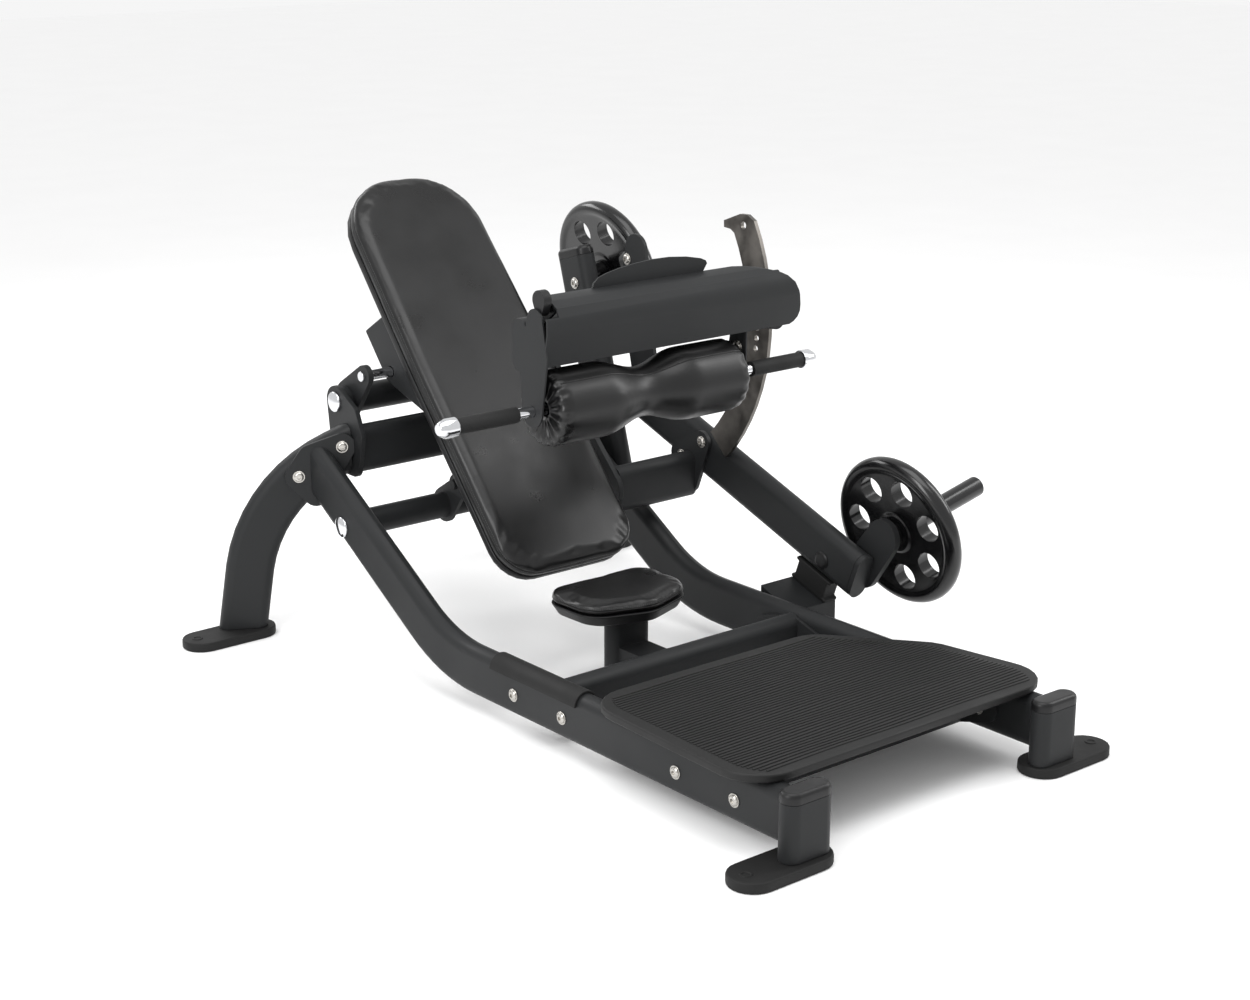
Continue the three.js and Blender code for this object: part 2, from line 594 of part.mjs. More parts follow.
function padOutline(inset) {
  const half = pad.width / 2 - inset;
  const corner = 92 - inset;
  const crown = 158 - inset;
  const cornerAt = half - corner;
  return wrap([-cornerAt, corner + inset, corner], [cornerAt, corner + inset, corner],
    [-(half - 8 - crown), pad.length - crown - inset, crown], [half - 8 - crown, pad.length - crown - inset, crown],
    [-(half - corner), 560, corner], [half - corner, 560, corner]);
}

// How far back the board's rear face is, at a given height
function behindBoard(z, clear) {
  return pad.y + Math.tan(radians(pad.slope)) * z + (pad.thickness + pad.board + clear) / slopeCos;
}

function addCarriage() {
  const cushion = new THREE.ExtrudeGeometry(padOutline(11), {
    depth: pad.thickness - 20, bevelThickness: 10, bevelSize: 10, bevelSegments: 3,
  });
  add('back_pad', onSlope(cushion.translate(0, 0, -pad.thickness + 10)), vinyl);
  const board = new THREE.ExtrudeGeometry(padOutline(6), { depth: pad.board - gap, bevelEnabled: false });
  add('pad_board', onSlope(board.translate(0, 0, -pad.thickness - pad.board)), plastic);
  const upper = { y: upperPivot.y + crank.y, z: upperPivot.z + crank.z };
  const lower = { y: lowerPivot.y + crank.y, z: lowerPivot.z + crank.z };
  const reach = (z) => [behindBoard(z, 5), z, 4];
  const upperLug = withHoles(wrap([upper.y, upper.z, 28], reach(560), reach(748), [1683, 707, 4]),
    [upper.y, upper.z, 13]);
  addPair('upper_lug', sidePlate(upperLug, -181, -169), paint);
  const lowerLug = withHoles(wrap([lower.y, lower.z, 24], reach(300), reach(440)), [lower.y, lower.z, 11.5]);
  addPair('lower_lug', sidePlate(lowerLug, -114, -102), paint);
}

function addRocker() {
  const end = rail.x - tube.short / 2 - 2;
  const pin = { y: lowerPivot.y + crank.y, z: lowerPivot.z + crank.z };
  const sleeve = ring(sleeveRadius - 2, axleRadius + 1, -end, end, lowerPivot.y, lowerPivot.z);
  const linkShape = withHoles(wrap([lowerPivot.y, lowerPivot.z, 42], [pin.y, pin.z, 22]),
    [lowerPivot.y, lowerPivot.z, sleeveRadius - 10]);
  const link = sidePlate(linkShape, -96, -86);
  add('rocker', join(sleeve, link, mirrored(link), rod(10, -122, 122, pin.y, pin.z)), paint);
}

addRails();
addArches();
addFrontLegs();
addFeet();
addFrameCross();
addAxles();
addSeat();
addPlatform();
addBumper();
addStorage();
addLever();
addWeightArm();
addSector();
addRollerArm();
addShroud();
addRoller();
addLatch();
addCarriage();
addRocker();
add('working_plate', weightDisc(workingPeg), enamel);
add('stored_plate', weightDisc(storagePeg), enamel);

// The origin is on the floor, under the middle of the whole machine
const bounds = new THREE.Box3().setFromObject(machine);
const middle = bounds.getCenter(new THREE.Vector3());
machine.position.set(-middle.x, -middle.y, -bounds.min.z);

export default machine;
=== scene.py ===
import json
import math
import bpy
from mathutils import Matrix, Vector


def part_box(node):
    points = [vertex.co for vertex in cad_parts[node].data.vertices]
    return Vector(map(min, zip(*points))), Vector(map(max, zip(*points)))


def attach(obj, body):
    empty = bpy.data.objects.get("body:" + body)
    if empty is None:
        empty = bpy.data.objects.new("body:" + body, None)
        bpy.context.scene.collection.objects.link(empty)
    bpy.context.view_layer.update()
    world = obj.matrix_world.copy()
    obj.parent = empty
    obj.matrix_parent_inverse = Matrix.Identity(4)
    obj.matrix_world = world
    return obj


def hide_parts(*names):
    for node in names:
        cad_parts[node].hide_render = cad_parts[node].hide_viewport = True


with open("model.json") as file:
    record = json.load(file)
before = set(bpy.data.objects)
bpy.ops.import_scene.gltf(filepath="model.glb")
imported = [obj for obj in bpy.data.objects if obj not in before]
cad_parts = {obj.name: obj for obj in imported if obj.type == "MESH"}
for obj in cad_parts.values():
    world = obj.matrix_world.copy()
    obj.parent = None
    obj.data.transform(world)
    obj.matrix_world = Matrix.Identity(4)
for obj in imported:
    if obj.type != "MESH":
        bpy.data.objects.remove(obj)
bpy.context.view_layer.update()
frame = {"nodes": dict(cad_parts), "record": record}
bodyOfNode = {node: body for body, nodes in frame["record"]["behaviour"]["bodies"].items() for node in nodes}

# The machine is laid out in millimetres from the middle of its front legs, floor level.
# The upper axle's middle is 1660 mm behind them and 557 mm up.
axleLow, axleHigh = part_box("upper_axle")
datum = (axleLow + axleHigh) / 2 - Vector((0, 1.660, 0.557))


def machine(x, y, z):
    return datum + Vector((x, y, z)) / 1000


def middle(node):
    low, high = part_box(node)
    return (low + high) / 2


# Camera and lights
camera = {"place": (-2962, -2657, 1805), "down": 16.5, "turn": 39.5, "lens": 63.16}
studio = {"world": "#ffffff", "worldStrength": 0.92}


def linearColour(text):
    channels = [int(text[i:i + 2], 16) / 255 for i in (1, 3, 5)]
    return tuple(c / 12.92 if c <= 0.04045 else ((c + 0.055) / 1.055) ** 2.4 for c in channels) + (1.0,)


def addNode(tree, kind, links=None, **settings):
    node = tree.nodes.new(kind)
    for name, value in settings.items():
        setattr(node, name, value)
    for socket, value in (links or {}).items():
        target = node.inputs[socket]
        if isinstance(value, bpy.types.NodeSocket):
            tree.links.new(value, target)
        else:
            target.default_value = value
    return node


cameraData = bpy.data.cameras.new("camera")
cameraData.lens = camera["lens"]
cameraData.clip_end = 60
cameraObject = bpy.data.objects.new("camera", cameraData)
bpy.context.collection.objects.link(cameraObject)
cameraObject.location = machine(*camera["place"])
cameraObject.rotation_euler = (math.radians(90 - camera["down"]), 0, math.radians(-camera["turn"]))
bpy.context.scene.camera = cameraObject

world = bpy.data.worlds.new("studio")
world.use_nodes = True
world.node_tree.nodes["Background"].inputs["Color"].default_value = linearColour(studio["world"])
world.node_tree.nodes["Background"].inputs["Strength"].default_value = studio["worldStrength"]
bpy.context.scene.world = world
bpy.context.scene.view_settings.view_transform = "Standard"

# Each lamp: name, place, what it points at, width, height, power
lamps = [
    ("overheadSoftbox", (-300, 300, 3600), (0, 900, 300), 2.6, 2.6, 62),
    ("leftSoftbox", (-3300, 200, 2300), (0, 900, 500), 1.2, 2.4, 62),
    ("rightStrip", (2900, -500, 2500), (200, 800, 500), 0.9, 2.4, 42),
    ("rearStrip", (-900, 4300, 2600), (0, 1200, 500), 2.4, 1.0, 42),
]
for name, place, target, width, height, power in lamps:
    lampData = bpy.data.lights.new(name, "AREA")
    lampData.shape = "RECTANGLE"
    lampData.size, lampData.size_y, lampData.energy = width, height, power
    lamp = bpy.data.objects.new(name, lampData)
    bpy.context.collection.objects.link(lamp)
    lamp.location = machine(*place)
    lamp.rotation_euler = (machine(*target) - lamp.location).to_track_quat("-Z", "Y").to_euler()

print("camera and lights placed")


# Materials
def perMm(sizeMm):
    return 1000 / sizeMm  # pattern scale for a feature of this size, on coordinates in metres


def makeFinish(name, look):
    # Every finish has slow patches in its colour and gloss, and a fine grain that stands up from it
    material = bpy.data.materials.new(name)
    material.use_nodes = True
    tree = material.node_tree
    shader = tree.nodes["Principled BSDF"]
    for socket, value in look.get("fixed", {}).items():
        shader.inputs[socket].default_value = value
    spot = addNode(tree, "ShaderNodeTexCoord").outputs["Object"]
    stretched = addNode(tree, "ShaderNodeMapping", {"Vector": spot, "Scale": look.get("stretch", (1, 1, 1))})
    patch = addNode(tree, "ShaderNodeTexNoise", {
        "Vector": spot, "Scale": perMm(look["patchMm"]), "Detail": 5.0}).outputs["Fac"]
    grainKind = "ShaderNodeTexVoronoi" if look.get("cells") else "ShaderNodeTexNoise"
    grainNode = addNode(tree, grainKind, {
        "Vector": stretched.outputs["Vector"], "Scale": perMm(look["grainMm"])},
        **({"feature": "DISTANCE_TO_EDGE"} if look.get("cells") else {}))
    grain = grainNode.outputs["Distance" if look.get("cells") else "Fac"]
    mix = addNode(tree, "ShaderNodeMix", {
        0: patch, 6: linearColour(look["dark"]), 7: linearColour(look["light"])}, data_type="RGBA")
    tree.links.new(mix.outputs[2], shader.inputs["Base Color"])
    smooth, dull = look["roughness"]
    gloss = addNode(tree, "ShaderNodeMapRange", {
        "Value": patch, "From Min": 0.3, "From Max": 0.7, "To Min": smooth, "To Max": dull})
    tree.links.new(gloss.outputs["Result"], shader.inputs["Roughness"])
    bump = addNode(tree, "ShaderNodeBump", {
        "Height": grain, "Strength": look["grainStrength"], "Distance": look["grainDepthMm"] / 1000})
    tree.links.new(bump.outputs["Normal"], shader.inputs["Normal"])
    return material


# Powder-coated steel: an electrostatic coat baked on, so it is satin with a fine pebbled skin,
# slightly glossier where hands and shoes have rubbed it. The pebble is drawn twice its size.
powderCoat = makeFinish("powderCoatedSteel", {
    "dark": "#191a1b", "light": "#232425", "roughness": (0.42, 0.58), "patchMm": 160,
    "grainMm": 2.0, "grainDepthMm": 0.12, "grainStrength": 0.5,
    "fixed": {"Specular IOR Level": 0.24}})
# Upholstery vinyl: PVC on a knit backing, embossed with a leather grain, glossy on its high spots
vinyl = makeFinish("upholsteryVinyl", {
    "dark": "#080808", "light": "#0e0e0f", "roughness": (0.26, 0.38), "patchMm": 120, "cells": True,
    "grainMm": 1.8, "grainDepthMm": 0.10, "grainStrength": 0.3,
    "fixed": {"Specular IOR Level": 0.40}})
# Chrome plate over polished steel: a mirror, with faint wiping marks
chrome = makeFinish("chromePlate", {
    "dark": "#cfd0d2", "light": "#dcdde0", "roughness": (0.05, 0.14), "patchMm": 12,
    "grainMm": 3.0, "grainDepthMm": 0.01, "grainStrength": 0.1, "fixed": {"Metallic": 1.0}})
# Stainless steel fasteners: cold headed and tumbled, so they are bright with a soft sheen
stainless = makeFinish("stainlessSteel", {
    "dark": "#a3a09b", "light": "#c2bfba", "roughness": (0.20, 0.36), "patchMm": 6,
    "grainMm": 1.2, "grainDepthMm": 0.02, "grainStrength": 0.4, "fixed": {"Metallic": 1.0}})
# Laser-cut mild steel, left raw under oil: warm grey, mottled by mill scale, with rolling lines along it
rawSteel = makeFinish("oiledRawSteel", {
    "dark": "#4f4c49", "light": "#8b8782", "roughness": (0.28, 0.48), "patchMm": 40, "stretch": (1, 1, 0.05),
    "grainMm": 2.2, "grainDepthMm": 0.03, "grainStrength": 0.5, "fixed": {"Metallic": 1.0}})
# Enamelled cast iron: thick gloss paint that has flowed, so it has a slow orange peel
enamel = makeFinish("enamelledCastIron", {
    "dark": "#060607", "light": "#0c0c0d", "roughness": (0.16, 0.26), "patchMm": 80,
    "grainMm": 6.0, "grainDepthMm": 0.15, "grainStrength": 0.3})
# Moulded rubber: dull, with a dusty bloom and a spark-eroded mould texture
rubber = makeFinish("mouldedRubber", {
    "dark": "#101010", "light": "#1c1c1c", "roughness": (0.55, 0.74), "patchMm": 90,
    "grainMm": 1.8, "grainDepthMm": 0.08, "grainStrength": 0.5,
    "fixed": {"Specular IOR Level": 0.28}})
# Platform rubber: a greyer compound, satin where shoes have polished its ribs
ribbedRubber = makeFinish("ribbedRubberMat", {
    "dark": "#141414", "light": "#202020", "roughness": (0.46, 0.66), "patchMm": 140,
    "grainMm": 2.4, "grainDepthMm": 0.10, "grainStrength": 0.5,
    "fixed": {"Specular IOR Level": 0.28}})
# Injection-moulded ABS: satin, with a fine etched grain
mouldedAbs = makeFinish("mouldedAbs", {
    "dark": "#0c0c0d", "light": "#141415", "roughness": (0.32, 0.46), "patchMm": 60,
    "grainMm": 1.4, "grainDepthMm": 0.05, "grainStrength": 0.4,
    "fixed": {"Specular IOR Level": 0.32}})
# Bonded polyester thread: twisted, and grey, lighter than the vinyl it is sewn through; the light grey is
# partly the thread's own tone and partly a painted highlight for the glints along the stitches
threadAndPaintedHighlight = makeFinish("polyesterThreadWithPaintedHighlight", {
    "dark": "#3c3c3c", "light": "#6a6a6a", "roughness": (0.4, 0.55), "patchMm": 10,
    "grainMm": 0.8, "grainDepthMm": 0.1, "grainStrength": 0.5})
# Seamless paper: matt, with hardly any tone of its own
paper = makeFinish("studioPaper", {
    "dark": "#fbfbfb", "light": "#ffffff", "roughness": (0.85, 0.95), "patchMm": 400,
    "grainMm": 3.0, "grainDepthMm": 0.02, "grainStrength": 0.1})

print("materials made")


# Modelling helpers
def deselectAll():
    if bpy.context.object and bpy.context.object.mode != "OBJECT":
        bpy.ops.object.mode_set(mode="OBJECT")
    bpy.ops.object.select_all(action="DESELECT")


def pick(*objects):
    deselectAll()
    for each in objects:
        each.select_set(True)
    bpy.context.view_layer.objects.active = objects[0]


def modify(piece, kind, **settings):
    modifier = piece.modifiers.new(kind.lower(), kind)
    for name, value in settings.items():
        setattr(modifier, name, value)
    pick(piece)
    bpy.ops.object.modifier_apply(modifier=modifier.name)


def settle(piece):
    # Puts the piece's place into its mesh, as a frame node has it
    pick(piece)
    bpy.ops.object.transform_apply(location=True, rotation=True, scale=True)


def softEdges(piece, width, segments=2, angle=32):
    modify(piece, "BEVEL", width=width, segments=segments, limit_method="ANGLE",
           angle_limit=math.radians(angle), use_clamp_overlap=True)
    pick(piece)
    bpy.ops.object.shade_smooth()
    modify(piece, "WEIGHTED_NORMAL", keep_sharp=True, weight=60)


def finish(piece, body, material, replaced=()):
    piece.data.materials.clear()
    piece.data.materials.append(material)
    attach(piece, body)
    if replaced:
        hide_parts(*replaced)
    return piece


def copyOf(node, name):
    source = frame["nodes"][node]
    piece = bpy.data.objects.new(name, source.data.copy())
    bpy.context.collection.objects.link(piece)
    pick(piece)
    bpy.ops.object.mode_set(mode="EDIT")
    bpy.ops.mesh.select_all(action="SELECT")
    bpy.ops.mesh.remove_doubles(threshold=0.00002)
    bpy.ops.mesh.dissolve_limited(angle_limit=math.radians(0.5))
    bpy.ops.object.mode_set(mode="OBJECT")
    return piece


def moveTo(piece, place, direction=None):
    # A piece modelled along +X at the origin is turned to a direction and placed
    turn = Vector((1, 0, 0)).rotation_difference(Vector(direction)) if direction else None
    matrix = Matrix.Translation(place) @ (turn.to_matrix().to_4x4() if turn else Matrix.Identity(4))
    piece.data.transform(matrix)
    piece.data.update()


def duplicate(piece, name):
    copy = bpy.data.objects.new(name, piece.data.copy())
    bpy.context.collection.objects.link(copy)
    return copy


def joined(name, pieces):
    pick(*pieces)
    bpy.ops.object.join()
    whole = bpy.context.view_layer.objects.active
    whole.name = name
    return whole


def extruded(name, outline, low, high, basis=None):
    # An outline of (a, b) points in metres, extruded from one height to another
    deselectAll()
    bpy.ops.mesh.primitive_circle_add(vertices=len(outline), radius=1, fill_type="NGON")
    piece = bpy.context.object
    piece.name = name
    for vertex, (a, b) in zip(piece.data.vertices, outline):
        vertex.co = (a, b, low)
    bpy.ops.object.mode_set(mode="EDIT")
    bpy.ops.mesh.select_all(action="SELECT")
    bpy.ops.mesh.extrude_region_move(TRANSFORM_OT_translate={"value": (0, 0, high - low)})
    bpy.ops.mesh.select_all(action="SELECT")
    bpy.ops.mesh.normals_make_consistent(inside=False)
    bpy.ops.object.mode_set(mode="OBJECT")
    if basis:
        piece.data.transform(basis)
    return piece


def turnedPiece(name, profile, segments=48):
    # A profile of (radius, x) points in metres, spun about the X axis
    deselectAll()
    bpy.ops.mesh.primitive_circle_add(vertices=len(profile), radius=1, fill_type="NOTHING")
    piece = bpy.context.object
    piece.name = name
    for vertex, (radius, x) in zip(piece.data.vertices, profile):
        vertex.co = (x, 0, radius)
    bpy.ops.object.mode_set(mode="EDIT")
    bpy.ops.mesh.select_all(action="SELECT")
    bpy.ops.mesh.spin(steps=segments, angle=math.tau, center=(0, 0, 0), axis=(1, 0, 0))
    bpy.ops.mesh.select_all(action="SELECT")
    bpy.ops.mesh.remove_doubles(threshold=0.00001)
    bpy.ops.mesh.normals_make_consistent(inside=False)
    bpy.ops.object.mode_set(mode="OBJECT")
    return piece


def hull(discs, count=48):
    # The outline round some discs, each (a, b, radius) in millimetres, in order, in metres
    points = sorted({(a + r * math.cos(math.tau * k / count), b + r * math.sin(math.tau * k / count))
                     for a, b, r in discs for k in range(count)})

    def chain(ordered):
        kept = []
        for p in ordered:
            while len(kept) > 1 and ((kept[-1][0] - kept[-2][0]) * (p[1] - kept[-2][1])
                                     - (kept[-1][1] - kept[-2][1]) * (p[0] - kept[-2][0])) <= 1e-6:
                kept.pop()
            kept.append(p)
        return kept[:-1]
    return [(a / 1000, b / 1000) for a, b in chain(points) + chain(points[::-1])]


def evenly(loop, spacing):
    # Points at an even spacing round a closed loop of vectors
    spots = []
    carried = 0.0
    for start, end in zip(loop, loop[1:] + loop[:1]):
        length = (end - start).length
        distance = carried
        while distance < length:
            spots.append(start.lerp(end, distance / length))
            distance += spacing
        carried = distance - length
    return spots


# Frame and lever: every rigid piece keeps its own shape, with its sharp corners eased
paintedNodes = [
    part["node"] for part in frame["record"]["subparts"] if part["material_slot"] == "frame_paint"]
paintedEdge = {"usual": 0.0013, "shroud": 0.0016}
# Each row: the finish, its slot, how much its edges are eased, and the nodes that have it
finishes = [
    (rubber, "black_rubber", 0.004, [
        "left_front_foot", "right_front_foot", "left_rear_foot", "right_rear_foot"]),
    (rubber, "black_rubber", 0.0012, ["rail_guard"]),
    (mouldedAbs, "black_plastic", 0.001, ["left_front_leg_cap", "right_front_leg_cap", "storage_post_cap"]),
    (mouldedAbs, "black_plastic", 0.0015, ["release_lever"]),
    (mouldedAbs, "black_plastic", 0.004, ["pad_board"]),
    (rawSteel, "raw_steel", 0.0008, ["sector_plate", "pull_pin"]),
    (chrome, "chrome_steel", 0.0012, ["carriage_shaft", "arm_pivot_bolt", "roller_axle"]),
    (chrome, "chrome_steel", 0.001, ["upper_axle", "lower_axle"]),
    (enamel, "chrome_steel", 0.0015, ["weight_peg", "storage_peg"]),
]
for node in paintedNodes:
    finishes.append((powderCoat, "frame_paint", paintedEdge.get(node, paintedEdge["usual"]), [node]))
for material, slotName, edge, nodes in finishes:
    for node in nodes:
        piece = copyOf(node, node + "_finished")
        softEdges(piece, edge)
        finish(piece, bodyOfNode[node], material, [node])
print("frame and lever finished")

# Bolts
bolt = {"head": 0.0115, "height": 0.0065, "washer": 0.0145, "washerThickness": 0.0022, "socket": 0.0052}


def makeBolt():
    head = turnedPiece("boltHead", [
        (0.0, 0.0), (bolt["washer"], 0.0), (bolt["washer"], bolt["washerThickness"] * 0.7),
        (bolt["washer"] - 0.0006, bolt["washerThickness"]), (bolt["head"], bolt["washerThickness"]),
        (bolt["head"], bolt["washerThickness"] + 0.0012), (bolt["head"] * 0.86, bolt["height"] * 0.82),
        (bolt["head"] * 0.6, bolt["height"]), (0.0, bolt["height"])], 24)
    deselectAll()
    bpy.ops.mesh.primitive_cylinder_add(vertices=6, radius=bolt["socket"], depth=0.006,
                                        location=(bolt["height"], 0, 0), rotation=(0, math.pi / 2, 0))
    socket = bpy.context.object
    modify(head, "BOOLEAN", object=socket, operation="DIFFERENCE", solver="EXACT")
    bpy.data.objects.remove(socket)
    pick(head)
    bpy.ops.object.shade_smooth_by_angle(angle=math.radians(35))
    return head


# Each bolt: body, place on the machine in millimetres, the way its head faces
boltPlaces = [("base", (-381, y, 86), (-1, 0, 0)) for y in (846, 680, 320, 150)]
boltPlaces += [("base", (381, y, 86), (1, 0, 0)) for y in (846, 680, 320, 150)]
boltPlaces += [("base", (side * 322.7, y, z), (-side, 0, 0)) for side in (-1, 1)
               for y, z in ((664, 84), (813, 84), (169, 88), (309, 88))]
boltPlaces += [
    ("lever", (464.4, 1280, 376), (-1, 0, 0)), ("lever", (464.4, 1207, 424), (-1, 0, 0)),
    ("roller_arm", (283, 884, 742), (-1, 0, 0)), ("base", (392, 1609, 765), (-1, 0, 0)),
    ("lever", (464.7, 1492, 834), (-1, 0, 0)),
]
boltMaster = makeBolt()
for index, (body, place, direction) in enumerate(boltPlaces):
    piece = duplicate(boltMaster, f"bolt_{index}")
    moveTo(piece, machine(*place), direction)
    finish(piece, body, stainless)
# The flanges on the arch legs are bolted through from their front faces, two bolts on each side
arch = {"baseX": 516, "baseY": 1750, "splay": 29.3, "halfThickness": 35.3, "bolts": ((147, 396), (250, 464))}
splay = math.radians(arch["splay"])
for side, word in ((-1, "near"), (1, "far")):
    inward = Vector((-side * math.cos(splay), -math.sin(splay), 0))
    face = Vector((side * math.sin(splay), -math.cos(splay), 0))
    for index, (along, up) in enumerate(arch["bolts"]):
        start = machine(side * arch["baseX"], arch["baseY"], up)
        piece = duplicate(boltMaster, f"flange_bolt_{index}_{word}")
        moveTo(piece, start + (inward * along + face * arch["halfThickness"]) / 1000, face)
        finish(piece, "base", stainless)
bpy.data.objects.remove(boltMaster)
print("bolts placed")

# The arm's inner side has a moulded plug over its access hole
plug = turnedPiece("arm_plug", [
    (0.0, 0.0), (0.021, 0.0), (0.021, 0.0015), (0.0185, 0.004), (0.012, 0.0048), (0.0, 0.0048)], 32)
pick(plug)
bpy.ops.object.shade_smooth_by_angle(angle=math.radians(40))
moveTo(plug, machine(475, 794, 222), (-1, 0, 0))
finish(plug, "lever", mouldedAbs)

# Weight plates
disc = {"radius": 0.181, "half": 0.021, "hub": 0.046, "bore": 0.026, "web": 0.0160, "holes": 7,
        "holeRadius": 0.032, "pitch": 0.112, "firstHole": 6.6, "tilt": 12.8}


def makeDisc():
    outer, half, hub, web = disc["radius"], disc["half"], disc["hub"], disc["web"]
    # Radius and height above the middle plane: the bore, the hub, the web, then the rounded rim
    face = [(disc["bore"], half - 0.001), (disc["bore"] + 0.001, half), (hub - 0.003, half),
            (hub, half - 0.002), (hub + 0.003, web + 0.002), (hub + 0.007, web),
            (outer - 0.040, web), (outer - 0.034, web + 0.001),
            (outer - 0.030, half - 0.004), (outer - 0.025, half - 0.001), (outer - 0.018, half),
            (outer - 0.010, half - 0.002), (outer - 0.004, half - 0.008), (outer - 0.001, half - 0.014)]
    profile = face + [(outer, 0.0)] + [(r, -x) for r, x in reversed(face)]
    piece = turnedPiece("discMaster", profile, 96)
    for index in range(disc["holes"]):
        angle = math.radians(disc["firstHole"]) + math.tau * index / disc["holes"]
        deselectAll()
        bpy.ops.mesh.primitive_cylinder_add(
            vertices=48, radius=disc["holeRadius"], depth=0.08, rotation=(0, math.pi / 2, 0),
            location=(0, disc["pitch"] * math.cos(angle), disc["pitch"] * math.sin(angle)))
        cutter = bpy.context.object
        modify(piece, "BOOLEAN", object=cutter, operation="DIFFERENCE", solver="EXACT")
        bpy.data.objects.remove(cutter)
    modify(piece, "BEVEL", width=0.003, segments=3, limit_method="ANGLE", angle_limit=math.radians(50))
    pick(piece)
    bpy.ops.object.shade_smooth()
    modify(piece, "WEIGHTED_NORMAL", keep_sharp=True, weight=50)
    return piece


discMaster = makeDisc()
for node in ("working_plate", "stored_plate"):
    piece = duplicate(discMaster, node + "_cast")
    tilt = math.radians(disc["tilt"])
    piece.data.transform(Matrix.Rotation(-tilt, 4, "Y"))
    piece.data.transform(Matrix.Translation(middle(node)))
    finish(piece, bodyOfNode[node], enamel, [node])
bpy.data.objects.remove(discMaster)
print("weight plates cast")

# Handle grips
gripWrap = {"radius": 0.0172, "diamonds": 12, "pitch": 0.0058, "relief": 0.0005, "around": 72,
            "step": 0.0014, "fade": 0.004}
for node in ("left_grip", "right_grip"):
    low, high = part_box(node)
    length = high.x - low.x
    steps = int(length / gripWrap["step"])
    deselectAll()
    bpy.ops.mesh.primitive_cylinder_add(vertices=gripWrap["around"], radius=gripWrap["radius"], depth=length,
                                        end_fill_type="NGON", rotation=(0, math.pi / 2, 0),
                                        location=(low + high) / 2)
    piece = bpy.context.object
    settle(piece)
    bpy.ops.object.mode_set(mode="EDIT")
    for k in range(1, steps):
        bpy.ops.mesh.select_all(action="SELECT")
        bpy.ops.mesh.bisect(plane_co=(low.x + length * k / steps, 0, 0), plane_no=(1, 0, 0))
    bpy.ops.object.mode_set(mode="OBJECT")
    centre = middle(node)
    for vertex in piece.data.vertices:
        across, up = vertex.co.y - centre.y, vertex.co.z - centre.z
        angle = math.atan2(up, across)
        run = vertex.co.x / gripWrap["pitch"] * math.pi
        half = gripWrap["diamonds"] / 2
        weave = abs(math.sin(angle * half + run)) + abs(math.sin(angle * half - run)) - 1
        ends = min(1, min(vertex.co.x - low.x, high.x - vertex.co.x) / gripWrap["fade"])
        reach = 1 + gripWrap["relief"] * weave * ends / gripWrap["radius"]
        vertex.co.y, vertex.co.z = centre.y + across * reach, centre.z + up * reach
    pick(piece)
    bpy.ops.object.shade_smooth_by_angle(angle=math.radians(50))
    piece.name = node + "_braided"
    finish(piece, bodyOfNode[node], rubber, [node])
print("grips braided")

# Foot platform
platform = {"ribPitch": 0.0105, "ribWidth": 0.0066, "ribHeight": 0.0022, "border": 0.030, "wander": 0.0014}
slab = copyOf("foot_platform", "platform_slab")
softEdges(slab, 0.0025, 3)
low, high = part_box("foot_platform")
platformOutline = [machine(1000 * a, 1000 * b, 0) for a, b in hull(
    [(-330, 142, 95), (330, 142, 95), (-318, 478, 95), (172, 482, 87), (300, 310, 95)])]


def spanAt(y, outline, inset):
    crossings = []
    for start, end in zip(outline, outline[1:] + outline[:1]):
        if (start.y - y) * (end.y - y) < 0:
            crossings.append(start.x + (end.x - start.x) * (y - start.y) / (end.y - start.y))
    return min(crossings) + inset, max(crossings) - inset


ribs = []
count = int((high.y - low.y - 2 * platform["border"]) / platform["ribPitch"])
for index in range(count + 1):
    y = low.y + platform["border"] + index * platform["ribPitch"]
    left, right = spanAt(y, platformOutline, platform["border"])
    deselectAll()
    bpy.ops.mesh.primitive_cube_add(size=1, location=((left + right) / 2, y, high.z))
    rib = bpy.context.object
    rib.scale = (right - left, platform["ribWidth"], platform["ribHeight"] * 2)
    settle(rib)
    bpy.ops.object.mode_set(mode="EDIT")
    for k in range(1, 24):
        bpy.ops.mesh.select_all(action="SELECT")
        bpy.ops.mesh.bisect(plane_co=(left + (right - left) * k / 24, 0, 0), plane_no=(1, 0, 0))
    bpy.ops.object.mode_set(mode="OBJECT")
    for vertex in rib.data.vertices:
        vertex.co.y += platform["wander"] * math.sin(vertex.co.x * 17 + index * 0.55)
    modify(rib, "BEVEL", width=0.0018, segments=2, limit_method="ANGLE", angle_limit=math.radians(50))
    ribs.append(rib)
ribField = joined("platform_ribs", ribs)
pick(ribField)
bpy.ops.object.shade_smooth_by_angle(angle=math.radians(40))
finish(slab, "base", ribbedRubber, ["foot_platform"])
finish(ribField, "base", ribbedRubber)
print("platform ribbed:", count + 1)

# Bumper
block = copyOf("bumper_block", "bumper_block_moulded")
softEdges(block, 0.004, 3)
finish(block, "base", rubber, ["bumper_block"])

